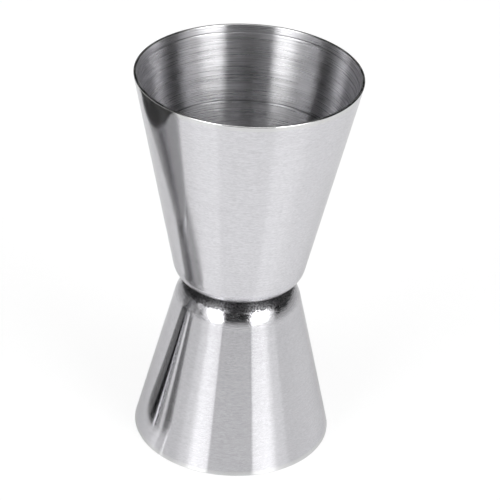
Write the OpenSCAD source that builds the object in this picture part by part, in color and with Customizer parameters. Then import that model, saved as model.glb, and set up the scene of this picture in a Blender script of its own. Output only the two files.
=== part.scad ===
// Two-ended bar jigger: two drawn steel cups, spot-welded floor to floor.
// The small cup stands on its rim at z = 0, and the large cup opens upwards above it.
// All sizes are in millimetres.

/* [Large cup] */
// Outside diameter at the large cup's rim
large_mouth_d = 46; // [40:0.5:58]
// Outside diameter where the large cup's straight wall would meet its floor
large_floor_d = 26; // [24:0.5:34]
// Height of the large cup, from the outside of its floor to its rim
large_h = 47; // [36:0.5:62]
// Outside radius of the shoulder between the large cup's floor and its wall
large_shoulder_r = 4.75; // [2:0.25:5.5]

/* [Small cup] */
// Outside diameter at the small cup's rim
small_mouth_d = 41.5; // [34:0.5:54]
// Outside diameter where the small cup's straight wall would meet its floor
small_floor_d = 24.3; // [23.5:0.1:33]
// Height of the small cup, from the outside of its floor to its rim
small_h = 36.3; // [26:0.1:52]
// Outside radius of the shoulder between the small cup's floor and its wall
small_shoulder_r = 5.75; // [2:0.25:6]

/* [Sheet and rims] */
// Thickness of the sheet that both cups are drawn from
sheet = 0.6; // [0.5:0.05:1]
// Radius polished onto the outer edge of each rim
rim_outer_r = 0.2; // [0.1:0.05:0.25]
// Radius polished onto the inner edge of each rim
rim_inner_r = 0.15; // [0.05:0.05:0.2]

/* [Rolled lines inside the large cup] */
// Depth of the lower line below the rim
lower_line_depth = 15.8; // [6:0.2:26]
// Depth of the upper line below the rim
upper_line_depth = 1.6; // [1.4:0.1:3]
// Width of each line, up the wall
line_w = 0.4; // [0.2:0.1:1]
// Depth that each line is rolled into the wall
line_cut = 0.08; // [0.04:0.02:0.2]

/* [Spot welds] */
// Number of spot welds between the two floors
weld_count = 3; // [2:1:5]
// Diameter of the circle that the spot welds lie on
weld_circle_d = 8.5; // [7.5:0.5:9.5]
// Diameter of each weld nugget, where the floors meet
nugget_d = 3; // [2:0.2:3.6]
// Sheet left sound above and below each nugget
nugget_cover = 0.22; // [0.16:0.02:0.3]
// Diameter of the dimple that the electrode leaves in each cup's floor
dimple_d = 2.6; // [1.6:0.2:3.4]
// Depth of each electrode dimple
dimple_depth = 0.08; // [0.02:0.02:0.12]

/* [Hidden] */

// Both floors meet on this level
floors_z = small_h;
// Straight steps along a shoulder's arc
SHOULDER_STEPS = 14;
// Straight steps along a rim edge's arc
RIM_STEPS = 4;
// Straight steps along a weld's or a dimple's arc
CAP_STEPS = 6;
// Facets around the cups
$fn = 180;
// Facets around the welds
WELD_FN = 48;

// Points of the arc of radius r that rounds corner p, whose sides leave it along unit vectors u and v
function fillet(p, u, v, r, steps) =
    let (
        half = acos(u * v) / 2,
        centre = p + (u + v) / norm(u + v) * r / sin(half),
        start = p + u * r / tan(half) - centre,
        end = p + v * r / tan(half) - centre,
        from = atan2(start.y, start.x),
        swept = atan2(end.y, end.x) - from,
        turn = swept > 180 ? swept - 360 : swept < -180 ? swept + 360 : swept
    )
    [for (i = [0:steps]) centre + r * [cos(from + turn * i / steps), sin(from + turn * i / steps)]];

// Points of a V-shaped line, rolled outwards into a wall at point p
function rolled_line(p, along, outward) = [
    p + along * line_w / 2,
    p + outward * line_cut,
    p - along * line_w / 2
];

// Points of a shallow spherical cap d across and h high, from its top on the axis down to its edge on z = 0
function cap(d, h) =
    let (
        r = (d * d / 4 + h * h) / (2 * h),
        reach = asin(d / 2 / r)
    )
    [for (i = [0:CAP_STEPS]) r * [sin(reach * i / CAP_STEPS), cos(reach * i / CAP_STEPS)] + [0, h - r]];

// One drawn cup with its floor on z = 0 and its mouth upwards.
// line_depths lists how far below the rim each line inside lies, from the upper one down.
module cup(mouth_d, floor_d, h, shoulder_r, line_depths = []) {
    lean = atan((mouth_d - floor_d) / 2 / h);
    up = [sin(lean), cos(lean)];
    outward = [cos(lean), -sin(lean)];
    level_sheet = sheet / cos(lean);
    rim = [mouth_d / 2, h];
    inner_rim = rim - [level_sheet, 0];
    inner_corner = inner_rim - up * (h - sheet) / cos(lean);
    lines = [
        for (depth = line_depths)
            each rolled_line(inner_rim - up * depth / cos(lean), up, outward)
    ];
    rotate_extrude()
        polygon(concat(
            [[0, 0]],
            fillet([floor_d / 2, 0], [-1, 0], up, shoulder_r, SHOULDER_STEPS),
            fillet(rim, -up, [-1, 0], rim_outer_r, RIM_STEPS),
            fillet(inner_rim, [1, 0], -up, rim_inner_r, RIM_STEPS),
            lines,
            fillet(inner_corner, up, [-1, 0], shoulder_r - sheet, SHOULDER_STEPS),
            [[0, sheet]]
        ));
}

// Puts a copy of its children at each spot weld, on the level where the floors meet
module at_welds() {
    for (i = [0:weld_count - 1])
        rotate([0, 0, i * 360 / weld_count])
            translate([weld_circle_d / 2, 0, 0])
                children();
}

// One weld nugget: a lens with half in each floor
module nugget() {
    half = cap(nugget_d, sheet - nugget_cover);
    rotate_extrude($fn = WELD_FN)
        polygon(concat(half, [for (i = [CAP_STEPS - 1:-1:0]) [half[i].x, -half[i].y]]));
}

// What an electrode presses out of a floor whose upper face is at z = sheet
module dimple() {
    dent = [for (p = cap(dimple_d, dimple_depth)) [p.x, sheet - p.y]];
    rotate_extrude($fn = WELD_FN)
        polygon(concat(dent, [[dimple_d / 2, 2 * sheet], [0, 2 * sheet]]));
}

// A cup with its weld pockets and electrode dimples
module welded_cup(mouth_d, floor_d, h, shoulder_r, line_depths = []) {
    difference() {
        cup(mouth_d, floor_d, h, shoulder_r, line_depths);
        at_welds() nugget();
        at_welds() dimple();
    }
}

module large_cup() {
    line_depths = [upper_line_depth, lower_line_depth];
    color([0.8, 0.8, 0.81])
        translate([0, 0, floors_z])
            welded_cup(large_mouth_d, large_floor_d, large_h, large_shoulder_r, line_depths);
}

module small_cup() {
    color([0.72, 0.72, 0.73])
        translate([0, 0, floors_z])
            mirror([0, 0, 1])
                welded_cup(small_mouth_d, small_floor_d, small_h, small_shoulder_r);
}

module spot_welds() {
    color([0.5, 0.5, 0.52])
        translate([0, 0, floors_z])
            at_welds() nugget();
}

large_cup();
small_cup();
spot_welds();
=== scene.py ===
"""The looks of a double-ended bar jigger: two brushed steel cups, spot-welded floor to floor."""

import math

import bpy
from mathutils import Matrix, Vector


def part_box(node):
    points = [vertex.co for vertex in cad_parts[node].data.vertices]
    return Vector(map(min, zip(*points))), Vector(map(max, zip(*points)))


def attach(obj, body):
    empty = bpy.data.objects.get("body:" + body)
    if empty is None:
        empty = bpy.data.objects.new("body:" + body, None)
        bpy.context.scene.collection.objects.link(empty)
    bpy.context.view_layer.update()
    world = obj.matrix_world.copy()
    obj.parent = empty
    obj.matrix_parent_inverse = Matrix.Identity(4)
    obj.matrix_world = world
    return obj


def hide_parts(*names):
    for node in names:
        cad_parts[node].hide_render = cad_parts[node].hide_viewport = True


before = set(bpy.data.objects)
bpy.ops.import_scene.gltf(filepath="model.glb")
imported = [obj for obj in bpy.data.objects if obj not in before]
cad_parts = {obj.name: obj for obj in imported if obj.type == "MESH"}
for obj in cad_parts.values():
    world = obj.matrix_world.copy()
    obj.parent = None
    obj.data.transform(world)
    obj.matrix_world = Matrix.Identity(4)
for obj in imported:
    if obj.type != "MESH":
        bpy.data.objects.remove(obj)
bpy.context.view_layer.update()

# ---------------------------------------------------------------- sizes, in metres
MM = 0.001
SHEET = 0.6 * MM
RIM_OUTER_R = 0.2 * MM
RIM_INNER_R = 0.15 * MM
WELD_COUNT = 3
WELD_CIRCLE_R = 4.25 * MM
DIMPLE_R = 1.3 * MM
DIMPLE_DEPTH = 0.08 * MM
LINE_DEPTHS = (1.6 * MM, 15.8 * MM)
LINE_W = 0.4 * MM
LINE_CUT = 0.08 * MM

large_low, large_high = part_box("large_cup")
small_low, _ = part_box("small_cup")
FLOORS_Z = large_low.z
LARGE = {"mouth_r": 23 * MM, "floor_r": 13 * MM, "shoulder_r": 4.75 * MM,
         "height": large_high.z - FLOORS_Z, "up": 1, "lines": LINE_DEPTHS}
SMALL = {"mouth_r": 20.75 * MM, "floor_r": 12.15 * MM, "shoulder_r": 5.75 * MM,
         "height": FLOORS_Z - small_low.z, "up": -1, "lines": ()}

# How finely the revolved walls are divided
AROUND = 288
WALL_STEP = 0.8 * MM
SHOULDER_STEPS = 28
RIM_STEPS = 6
LINE_STEPS = 8
LINE_MARGIN = LINE_W / 8
INNER_FLOOR_STEP = 0.25 * MM
OUTER_FLOOR_STEP = 1 * MM
# A point nearer than this to the axis or to the floor lies on it
TINY = 1e-7


# ---------------------------------------------------------------- revolved cups
def fillet(corner, u, v, radius, steps):
    """Points of the arc that rounds a corner whose sides leave it along the unit vectors u and v."""
    half = u.angle(v) / 2
    centre = corner + (u + v).normalized() * radius / math.sin(half)
    start = corner + u * radius / math.tan(half) - centre
    end = corner + v * radius / math.tan(half) - centre
    swept = math.atan2(start.x * end.y - start.y * end.x, start.dot(end))
    return [centre + Matrix.Rotation(swept * i / steps, 2) @ start for i in range(steps + 1)]


def straight(a, b, step):
    """Points between a and b, both left out, about a step apart."""
    count = max(1, round((b - a).length / step))
    return [a.lerp(b, i / count) for i in range(1, count)]


def cup_section(cup):
    """The cup's section, from the axis outside, over the rim, to the axis inside.

    Each point is ((radius, height above the level where the floors meet), finish).
    """
    height = cup["height"]
    lean = math.atan((cup["mouth_r"] - cup["floor_r"]) / height)
    up = Vector((math.sin(lean), math.cos(lean)))
    inwards = Vector((-1, 0))
    rim = Vector((cup["mouth_r"], height))
    inner_rim = rim + inwards * SHEET / math.cos(lean)
    inner_corner = inner_rim - up * (height - SHEET) / math.cos(lean)
    shoulder = fillet(Vector((cup["floor_r"], 0)), inwards, up, cup["shoulder_r"], SHOULDER_STEPS)
    edge = fillet(rim, -up, inwards, RIM_OUTER_R, RIM_STEPS)
    inner_edge = fillet(inner_rim, -inwards, -up, RIM_INNER_R, RIM_STEPS)
    inner_shoulder = fillet(inner_corner, up, inwards, cup["shoulder_r"] - SHEET, SHOULDER_STEPS)
    floor_in, floor_out = Vector((0, SHEET)), Vector((0, 0))
    outside = [floor_out, *straight(floor_out, shoulder[0], OUTER_FLOOR_STEP), *shoulder,
               *straight(shoulder[-1], edge[0], WALL_STEP)]
    outward = Vector((math.cos(lean), -math.sin(lean)))
    wall = [inner_edge[-1]]
    for depth in cup["lines"]:
        middle = inner_rim - up * depth / math.cos(lean)
        groove = [middle + up * LINE_W * (0.5 - i / LINE_STEPS)
                  + outward * LINE_CUT * math.sin(math.pi * i / LINE_STEPS) ** 2
                  for i in range(LINE_STEPS + 1)]
        above = groove[0] + up * LINE_MARGIN
        below = groove[-1] - up * LINE_MARGIN
        wall += [*straight(wall[-1], above, WALL_STEP), above, *groove, below]
    wall += straight(wall[-1], inner_shoulder[0], WALL_STEP)
    inside = [*wall, *inner_shoulder, *straight(inner_shoulder[-1], floor_in, INNER_FLOOR_STEP),
              floor_in]
    return ([(p, "outside") for p in outside] + [(p, "rim") for p in edge[:-1]]
            + [(edge[-1], "face")] + [(p, "rim") for p in inner_edge[:-1]]
            + [(p, "inside") for p in inside])


def dimple_depth(x, y):
    """How far an electrode's dimple has sunk the floor at this place."""
    ball_r = (DIMPLE_R ** 2 + DIMPLE_DEPTH ** 2) / (2 * DIMPLE_DEPTH)
    for i in range(WELD_COUNT):
        angle = 2 * math.pi * i / WELD_COUNT
        gap = math.hypot(x - WELD_CIRCLE_R * math.cos(angle), y - WELD_CIRCLE_R * math.sin(angle))
        if gap < DIMPLE_R:
            return math.sqrt(ball_r ** 2 - gap ** 2) - ball_r + DIMPLE_DEPTH
    return 0


def revolve(name, cup, finishes):
    """One cup as a closed mesh of revolution, with a material for each finish of its section."""
    section = cup_section(cup)
    verts, rings, faces, slots = [], [], [], []
    for point, _ in section:
        if point.x < TINY:
            verts.append((0, 0, FLOORS_Z + cup["up"] * point.y))
            rings.append([len(verts) - 1] * AROUND)
            continue
        rings.append(list(range(len(verts), len(verts) + AROUND)))
        on_floor = abs(point.y - SHEET) < TINY
        for i in range(AROUND):
            angle = 2 * math.pi * i / AROUND
            x, y = point.x * math.cos(angle), point.x * math.sin(angle)
            sunk = dimple_depth(x, y) if on_floor else 0
            verts.append((x, y, FLOORS_Z + cup["up"] * (point.y - sunk)))
    names = list(finishes)
    for k in range(len(section) - 1):
        low, high = rings[k], rings[k + 1]
        for i in range(AROUND):
            j = (i + 1) % AROUND
            face = list(dict.fromkeys([low[i], low[j], high[j], high[i]]))
            faces.append(face if cup["up"] > 0 else face[::-1])
            from_outside = section[k][1] == "outside"
            slots.append(names.index(section[k + from_outside][1]))
    mesh = bpy.data.meshes.new(name)
    mesh.from_pydata(verts, [], faces)
    for finish in names:
        mesh.materials.append(finishes[finish])
    mesh.polygons.foreach_set("material_index", slots)
    mesh.shade_smooth()
    mesh.validate()
    piece = bpy.data.objects.new(name, mesh)
    bpy.context.scene.collection.objects.link(piece)
    return piece


# ---------------------------------------------------------------- materials
# A cup's wall is about this long for each 1 that its height and its radius grow together
WALL_SHARE = 0.84
# The painted shade and grit round the waist are whole up to the first distance from it, and gone by the
# second
WAIST_SHADE_WHOLE = 1.55 * MM
WAIST_SHADE_END = 1.8 * MM
# The spinning marks on the shoulders fade out in the same way
SPUN_WHOLE = 3.5 * MM
SPUN_END = 5.5 * MM
# The depths of the marks: the spinning marks' is given in depths of the satin lines
SATIN_DEPTH = 0.002 * MM
SPUN_DEPTH = 18
POLISHING_DEPTH = 0.018 * MM
# Anisotropic rotation that spreads reflections along the section, across the marks
ACROSS_THE_MARKS = 0.25
# How far the slanting scratches turn round the axis as they rise, in radians per metre
SCRATCH_TWIST = 40


class Tree:
    """A material's node tree, with short ways to add and link its nodes."""

    def __init__(self, name):
        self.material = bpy.data.materials.new(name)
        self.material.use_nodes = True
        self.tree = self.material.node_tree
        self.shader = self.tree.nodes["Principled BSDF"]
        self.output = self.tree.nodes["Material Output"]

    def node(self, kind, inputs=(), **settings):
        node = self.tree.nodes.new("ShaderNode" + kind)
        for key, value in settings.items():
            setattr(node, key, value)
        for key, value in dict(inputs).items():
            self.put(value, node.inputs[key])
        return node

    def put(self, value, socket):
        """Links an output to a socket, or sets the socket to a plain value."""
        if isinstance(value, bpy.types.NodeSocket):
            self.tree.links.new(value, socket)
        else:
            socket.default_value = value

    def math(self, operation, a, b=0.0):
        return self.node("Math", {0: a, 1: b}, operation=operation).outputs[0]

    def vector(self, operation, a, b=(0, 0, 0)):
        return self.node("VectorMath", {0: a, 1: b}, operation=operation).outputs[0]

    def ramp(self, value, low, high, out_low=0.0, out_high=1.0):
        """Maps low..high smoothly to out_low..out_high."""
        ends = {"Value": value, "From Min": low, "From Max": high, "To Min": out_low, "To Max": out_high}
        return self.node("MapRange", ends, interpolation_type="SMOOTHSTEP").outputs[0]

    def noise(self, vector, detail=2.0, roughness=0.5):
        return self.node("TexNoise", {"Vector": vector, "Scale": 1.0, "Detail": detail,
                                      "Roughness": roughness}).outputs[0]

    def mix(self, factor, a, b):
        node = self.node("Mix", data_type="RGBA")
        self.put(factor, node.inputs["Factor"])
        self.put(a, node.inputs[6])
        self.put(b, node.inputs[7])
        return node.outputs[2]


def brushed_coordinates(t, length, pitch, twist=0.0):
    """Coordinates whose noise makes marks around the axis, about pitch wide.

    The marks are about length long at the large cup's mouth, and shorter nearer the axis. They
    close on themselves all the way round, and turn into rings on the floors of the cups.
    A twist, in radians per metre, slants the marks.
    """
    place = t.node("TexCoord").outputs["Object"]
    above_waist = height_above(t, FLOORS_Z)
    if twist:
        turn = {"Vector": place, "Angle": t.math("MULTIPLY", above_waist, twist)}
        place = t.node("VectorRotate", turn, rotation_type="Z_AXIS").outputs[0]
    flat = t.vector("MULTIPLY", place, (1, 1, 0))
    radius = t.node("VectorMath", {0: flat}, operation="LENGTH").outputs["Value"]
    along = t.math("ADD", t.math("ABSOLUTE", above_waist), radius)
    along = t.math("MULTIPLY", along, WALL_SHARE / pitch)
    round_part = t.vector("MULTIPLY", t.vector("NORMALIZE", flat), (LARGE["mouth_r"] / length,) * 3)
    return t.vector("ADD", round_part, t.node("CombineXYZ", {"Z": along}).outputs[0])


def spot_coordinates(t, size):
    """Coordinates whose noise makes spots about that size."""
    return t.vector("MULTIPLY", t.node("TexCoord").outputs["Object"], (1 / size,) * 3)


def height_above(t, level):
    """How high a point of the surface lies above a level, in metres."""
    height = t.node("SeparateXYZ", {0: t.node("TexCoord").outputs["Object"]}).outputs["Z"]
    return t.math("SUBTRACT", height, level)


def metal(t, roughness, anisotropy):
    """Makes a material metallic, with reflections that spread across its marks."""
    t.shader.inputs["Metallic"].default_value = 1
    t.shader.inputs["Anisotropic"].default_value = anisotropy
    t.shader.inputs["Anisotropic Rotation"].default_value = ACROSS_THE_MARKS
    t.put(roughness, t.shader.inputs["Roughness"])


def bump(t, height, depth):
    """Joins a height to the shader's normal. A height of 1 stands for depth metres."""
    node = t.node("Bump", {"Height": height, "Distance": depth, "Strength": 1.0})
    t.put(node.outputs[0], t.shader.inputs["Normal"])


def steel_outside():
    """Fine satin lines round the wall, and a dark gritty ring of painted shade in the crease where the
    shoulders meet.

    The ring ends evenly on the upper cup, and raggedly on the lower one.
    """
    t = Tree("steel_outside")
    fine = t.noise(brushed_coordinates(t, 3 * MM, 0.1 * MM), 1)
    satin = t.noise(brushed_coordinates(t, 0.9 * MM, 0.16 * MM), 2, 0.6)
    broad = t.noise(brushed_coordinates(t, 8 * MM, 0.4 * MM), 3)
    grit = t.noise(spot_coordinates(t, 0.35 * MM), 3, 0.7)
    speck = t.noise(spot_coordinates(t, 0.16 * MM), 1)
    above_waist = height_above(t, FLOORS_Z)
    ragged = t.math("SUBTRACT", t.math("MULTIPLY", t.math("SUBTRACT", grit, 0.5), 2 * MM), above_waist)
    edge = t.math("MAXIMUM", t.math("MULTIPLY", above_waist, 0.95), ragged)
    # Painted shade: a near-black gritty ring in the crease where the two shoulders meet. Its grit also
    # roughens and bumps the steel there
    shade_and_grit_ring = t.ramp(edge, WAIST_SHADE_WHOLE, WAIST_SHADE_END, 1, 0)
    shade_and_grit_ring = t.math("MULTIPLY", shade_and_grit_ring, t.ramp(speck, 0.59, 0.66, 1, 0.15))
    shade = t.math("ADD", t.math("MULTIPLY", broad, 0.25), t.math("MULTIPLY", satin, 0.75))
    satin_colour = t.mix(t.ramp(shade, 0.3, 0.7), (0.66, 0.655, 0.68, 1), (0.82, 0.815, 0.845, 1))
    # The painted shade's colour, grey to near-black with the grit
    gritty_painted_shade = t.mix(t.ramp(grit, 0.35, 0.65), (0.04, 0.04, 0.042, 1), (0.32, 0.32, 0.33, 1))
    t.put(t.mix(shade_and_grit_ring, satin_colour, gritty_painted_shade), t.shader.inputs["Base Color"])
    rough = t.ramp(fine, 0.3, 0.7, 0.11, 0.15)
    spun = t.noise(brushed_coordinates(t, 2.5 * MM, 0.3 * MM), 3, 0.6)
    on_shoulder = t.ramp(t.math("ABSOLUTE", above_waist), SPUN_WHOLE, SPUN_END, 1, 0)
    rough = t.math("ADD", rough, t.math("MULTIPLY", on_shoulder, t.ramp(spun, 0.42, 0.62, 0.0, 0.11)))
    metal(t, t.math("ADD", rough, t.math("MULTIPLY", shade_and_grit_ring, 0.3)), 0.9)
    lines = t.math("ADD", fine, t.math("MULTIPLY", t.math("MULTIPLY", grit, shade_and_grit_ring), 3.0))
    waves = t.math("MULTIPLY", t.math("MULTIPLY", spun, on_shoulder), SPUN_DEPTH)
    bump(t, t.math("ADD", lines, waves), SATIN_DEPTH)
    return t.material


def steel_inside():
    """Coarse marks round the wall from the polishing wheel, with slanting scratches.

    The lower line is dark, and the steel below it is mottled and duller.
    """
    t = Tree("steel_inside")
    coarse = t.noise(brushed_coordinates(t, 16 * MM, 0.2 * MM), 2, 0.6)
    fine = t.noise(brushed_coordinates(t, 6 * MM, 0.1 * MM), 1)
    broad = t.noise(brushed_coordinates(t, 12 * MM, 1.6 * MM), 2)
    slant = t.noise(brushed_coordinates(t, 10 * MM, 0.22 * MM, SCRATCH_TWIST), 2)
    scratches = t.ramp(slant, 0.64, 0.7)
    height = t.math("ADD", coarse, t.math("MULTIPLY", fine, 0.5))
    height = t.math("ADD", height, t.math("MULTIPLY", scratches, 0.25))
    shade = t.math("ADD", t.math("MULTIPLY", broad, 0.2), t.math("MULTIPLY", coarse, 0.4))
    shade = t.math("ADD", shade, t.math("MULTIPLY", fine, 0.4))
    colour = t.mix(t.ramp(shade, 0.36, 0.64), (0.47, 0.465, 0.48, 1), (0.74, 0.735, 0.755, 1))
    lower_line = LARGE["height"] + FLOORS_Z - LINE_DEPTHS[1]
    above_line = height_above(t, lower_line)
    blotch = t.noise(spot_coordinates(t, 1.5 * MM), 3)
    uneven = t.math("ADD", above_line, t.math("MULTIPLY", blotch, 0.4 * MM))
    dull = t.ramp(uneven, -0.1 * MM, 0.4 * MM, 1, 0)
    mottled = t.math("MULTIPLY", dull, t.ramp(blotch, 0.3, 0.7, 0.15, 0.5))
    colour = t.mix(mottled, colour, (0.4, 0.4, 0.41, 1))
    in_line = t.ramp(t.math("ABSOLUTE", above_line), 0.12 * MM, 0.25 * MM, 0.7, 0)
    colour = t.mix(in_line, colour, (0.2, 0.2, 0.205, 1))
    t.put(colour, t.shader.inputs["Base Color"])
    metal(t, t.ramp(coarse, 0.3, 0.7, 0.26, 0.31), 1.0)
    bump(t, height, POLISHING_DEPTH)
    return t.material


def steel_rim(name, smooth, rough):
    """The trimmed and polished edge of a mouth, with a roughness from smooth to rough."""
    t = Tree(name)
    marks = t.noise(brushed_coordinates(t, 3 * MM, 0.1 * MM), 2)
    colour = t.mix(marks, (0.7, 0.7, 0.705, 1), (0.82, 0.82, 0.825, 1))
    t.put(colour, t.shader.inputs["Base Color"])
    metal(t, t.ramp(marks, 0.3, 0.7, smooth, rough), 0.3)
    return t.material


def weld_steel():
    """Fused steel with a straw and blue heat tint."""
    t = Tree("weld_steel")
    tint = t.noise(spot_coordinates(t, 1.2 * MM), 3)
    t.put(t.mix(t.ramp(tint, 0.35, 0.65), (0.42, 0.36, 0.27, 1), (0.3, 0.32, 0.4, 1)),
          t.shader.inputs["Base Color"])
    metal(t, t.ramp(tint, 0.3, 0.7, 0.35, 0.5), 0.0)
    bump(t, tint, 0.02 * MM)
    return t.material


finishes = {"outside": steel_outside(), "rim": steel_rim("steel_rim", 0.1, 0.18),
            "face": steel_rim("steel_rim_face", 0.22, 0.32), "inside": steel_inside()}
cups = []
for name, cup in (("large_cup", LARGE), ("small_cup", SMALL)):
    piece = revolve(f"{name}_steel", cup, finishes)
    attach(piece, "root")
    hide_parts(name)
    cups.append(piece)
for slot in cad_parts["spot_welds"].material_slots:
    slot.material = weld_steel()

# ---------------------------------------------------------------- studio
FLOOR_Z = small_low.z - 0.02 * MM
FLOOR_SIZE = 10
SOFTBOX_AWAY = 3
SURROUND_R = 4
SURROUND_STEPS = 96
# Elevations, in degrees from the origin, of the surround's top and of the top of its pale foot
SURROUND_TOP = 70
PALE_TOP = 14
# How strongly the pale foot and the dark walls above it glow
PALE_GLOW = 0.44
DARK_GLOW = 0.012
# How finely a softbox is divided, and how much of its width its inner edge takes to fade in
CARD_STEPS = 12
SOFT_EDGE = 0.08
# The part of the floor's white that a shadow can darken, as the camera sees it, and the rest
FLOOR_SHADED = 0.24
FLOOR_WHITE = 0.8
# Strength of the world's light on matt surfaces
FILL = 0.25


def towards(azimuth, elevation, away):
    """The place that lies that far from the origin, at an azimuth from the front towards +X."""
    turn, rise = math.radians(azimuth), math.radians(elevation)
    level = math.cos(rise)
    return Vector((math.sin(turn) * level, -math.cos(turn) * level, math.sin(rise))) * away


def prop(name, mesh, material):
    """A thing of the studio that the camera doesn't see."""
    piece = bpy.data.objects.new(name, mesh)
    bpy.context.scene.collection.objects.link(piece)
    if material:
        mesh.materials.append(material)
    piece.visible_camera = False
    return piece


def glow(name, core, edge):
    """A softbox's light: core strong on its inner side, below the middle, down to edge strong elsewhere.

    Its inner edge fades in from nothing.
    """
    t = Tree(name)
    place = t.node("SeparateXYZ", {0: t.node("UVMap").outputs[0]})
    across, rise = place.outputs["X"], place.outputs["Y"]
    # The hot part grows up from the foot, and higher up it widens and weakens
    reach = t.math("SUBTRACT", across, t.ramp(rise, 0.35, 0.7, 0, 0.15))
    hot = t.math("MULTIPLY", t.ramp(reach, 0.42, 0.75, 1, 0), t.ramp(rise, 0.07, 0.4))
    hot = t.math("MULTIPLY", hot, t.ramp(rise, 0.4, 0.7, 1, 0.3))
    level = t.math("ADD", edge, t.math("MULTIPLY", hot, core - edge))
    light = t.node("Emission", {"Strength": t.math("MULTIPLY", level, t.ramp(across, 0.0, SOFT_EDGE))})
    t.put(light.outputs[0], t.output.inputs["Surface"])
    return t.material


def softbox(name, inner_foot, outer_foot, outer_top, inner_top, core, edge):
    """A lit card whose four corners lie in these directions: an azimuth and an elevation in degrees."""
    foot_in, foot_out, top_out, top_in = (
        towards(*corner, SOFTBOX_AWAY) for corner in (inner_foot, outer_foot, outer_top, inner_top))
    across = [i / CARD_STEPS for i in range(CARD_STEPS + 1)]
    verts = [foot_in.lerp(foot_out, u).lerp(top_in.lerp(top_out, u), v) for v in across for u in across]
    row = CARD_STEPS + 1
    faces = [(k, k + 1, k + 1 + row, k + row)
             for j in range(CARD_STEPS) for k in range(j * row, j * row + CARD_STEPS)]
    mesh = bpy.data.meshes.new(name)
    mesh.from_pydata(verts, [], faces)
    uv = mesh.uv_layers.new(name="UVMap")
    for loop in mesh.loops:
        uv.data[loop.index].uv = (across[loop.vertex_index % row], across[loop.vertex_index // row])
    return prop(name, mesh, glow(name, core, edge))


softbox("softbox_left", (-19, 0), (-54, 0), (-76, 42), (-46, 68), 6.3, 0.86)
softbox("softbox_right", (23, 0), (64, 0), (86, 43), (48, 68), 6.2, 0.86)
softbox("softbox_above", (-45, 60), (45, 60), (135, 60), (-135, 60), 1.8, 1.8)


def surround():
    """Dark walls round the table, pale at their foot, open at the top."""
    steps = SURROUND_STEPS
    top = SURROUND_R * math.tan(math.radians(SURROUND_TOP))
    angles = [2 * math.pi * i / steps for i in range(steps)]
    verts = [(SURROUND_R * math.cos(angle), SURROUND_R * math.sin(angle), z)
             for z in (0, top) for angle in angles]
    faces = [(i, (i + 1) % steps, steps + (i + 1) % steps, steps + i) for i in range(steps)]
    mesh = bpy.data.meshes.new("surround")
    mesh.from_pydata(verts, [], faces)
    t = Tree("surround")
    pale_to = SURROUND_R * math.tan(math.radians(PALE_TOP))
    strength = t.ramp(height_above(t, 0), pale_to * 0.9, pale_to * 1.1, PALE_GLOW, DARK_GLOW)
    light = t.node("Emission", {"Strength": strength})
    t.put(light.outputs[0], t.output.inputs["Surface"])
    piece = prop("surround", mesh, t.material)
    piece.visible_diffuse = False
    piece.visible_shadow = False


surround()


def floor_material():
    """White acrylic. The camera sees it as white, darkened a little by the object's shadow."""
    t = Tree("floor_white")
    path = t.node("LightPath")
    lit = t.node("BsdfDiffuse", {"Color": (0.9, 0.9, 0.9, 1)}).outputs[0]
    sheen = t.node("BsdfGlossy", {"Roughness": 0.12}).outputs[0]
    fresnel = t.node("Fresnel", {"IOR": 1.5}).outputs[0]
    table = t.node("MixShader", {0: fresnel, 1: lit, 2: sheen}).outputs[0]
    shaded = t.node("BsdfDiffuse", {"Color": (FLOOR_SHADED, FLOOR_SHADED, FLOOR_SHADED, 1)}).outputs[0]
    white = t.node("Emission", {"Strength": FLOOR_WHITE}).outputs[0]
    seen = t.node("AddShader", {0: shaded, 1: white}).outputs[0]
    both = t.node("MixShader", {0: path.outputs["Is Camera Ray"], 1: table, 2: seen}).outputs[0]
    t.put(both, t.output.inputs["Surface"])
    return t.material


bpy.ops.mesh.primitive_plane_add(size=FLOOR_SIZE, location=(0, 0, FLOOR_Z))
floor = bpy.context.object
floor.name = "floor"
floor.data.materials.append(floor_material())

# The world is white to the camera and in reflections, and gives matt surfaces only a weak fill
world = bpy.data.worlds.new("studio")
bpy.context.scene.world = world
world.use_nodes = True
nodes, links = world.node_tree.nodes, world.node_tree.links
background = nodes["Background"]
background.inputs["Color"].default_value = (1, 1, 1, 1)
path = nodes.new("ShaderNodeLightPath")
shown = nodes.new("ShaderNodeMath")
shown.operation = "MAXIMUM"
links.new(path.outputs["Is Camera Ray"], shown.inputs[0])
links.new(path.outputs["Is Glossy Ray"], shown.inputs[1])
through = nodes.new("ShaderNodeMath")
through.operation = "MAXIMUM"
links.new(shown.outputs[0], through.inputs[0])
links.new(path.outputs["Is Transmission Ray"], through.inputs[1])
strength = nodes.new("ShaderNodeMapRange")
links.new(through.outputs[0], strength.inputs["Value"])
strength.inputs["To Min"].default_value = FILL
strength.inputs["To Max"].default_value = 1.0
links.new(strength.outputs[0], background.inputs["Strength"])
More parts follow.
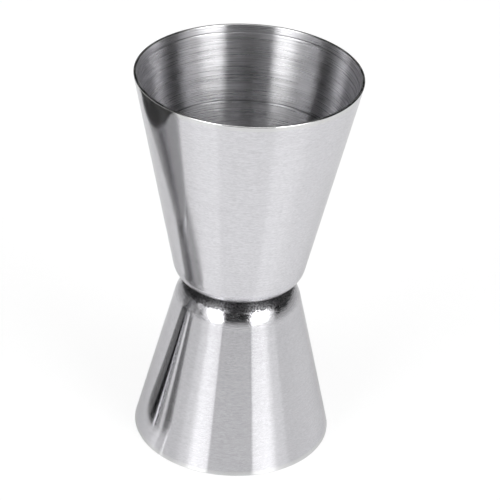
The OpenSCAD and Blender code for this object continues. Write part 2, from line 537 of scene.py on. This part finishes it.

# A smaller jigger stands beside this one, out of sight, and reflects in its left side.
# Its sizes are shares of this one's, and its finishes are (grey, roughness). Its greys are painted
# shade: they are darker than this steel, so that its reflection shows the shade between the jiggers,
# as it casts no shadow.
NEIGHBOUR_WIDTHS = (0.89, 0.82)
NEIGHBOUR_HEIGHT = 0.82
NEIGHBOUR_PLACE = Vector((-46.5 * MM, -5.9 * MM, 0))
NEIGHBOUR_OUTSIDE_SHADED = (0.38, 0.06)
NEIGHBOUR_INSIDE_SHADED = (0.36, 0.3)
shaded_neighbour_finishes = []
for finish in finishes:
    grey, rough = NEIGHBOUR_INSIDE_SHADED if finish == "inside" else NEIGHBOUR_OUTSIDE_SHADED
    t = Tree(f"neighbour_{finish}")
    # Painted shade: a grey darker than steel, standing in for the shade between the jiggers
    t.shader.inputs["Base Color"].default_value = (grey, grey, grey, 1)
    metal(t, rough, 0.5)
    shaded_neighbour_finishes.append(t.material)
for cup, width in zip(cups, NEIGHBOUR_WIDTHS):
    beside = prop(f"beside_{cup.name}", cup.data.copy(), None)
    for i, material in enumerate(shaded_neighbour_finishes):
        beside.data.materials[i] = material
    beside.location = NEIGHBOUR_PLACE
    beside.scale = (width, width, NEIGHBOUR_HEIGHT)
    beside.visible_shadow = False
    beside.visible_diffuse = False

# ---------------------------------------------------------------- camera
# Fitted to the photo's outline, in radii of the large cup's mouth
CAMERA_BACK = 17.96 * LARGE["mouth_r"]
CAMERA_RISE = 12.55 * LARGE["mouth_r"]
AIM_SIDE = 0.0896 * LARGE["mouth_r"]
AIM_RISE = 1.857 * LARGE["mouth_r"]
CAMERA_LENS = 167.6
SENSOR_WIDTH = 36
CAMERA_ROLL = 0.0561
data = bpy.data.cameras.new("camera")
data.sensor_width = SENSOR_WIDTH
data.lens = CAMERA_LENS
camera = bpy.data.objects.new("camera", data)
bpy.context.scene.collection.objects.link(camera)
bpy.context.scene.camera = camera
camera.location = (AIM_SIDE, -CAMERA_BACK, CAMERA_RISE)
look = Vector((AIM_SIDE, 0, AIM_RISE)) - camera.location
facing = look.to_track_quat("-Z", "Y").to_matrix().to_4x4()
rolled = facing @ Matrix.Rotation(CAMERA_ROLL, 4, "Z")
camera.matrix_world = Matrix.Translation(camera.location) @ rolled

bpy.context.scene.view_settings.view_transform = "Standard"
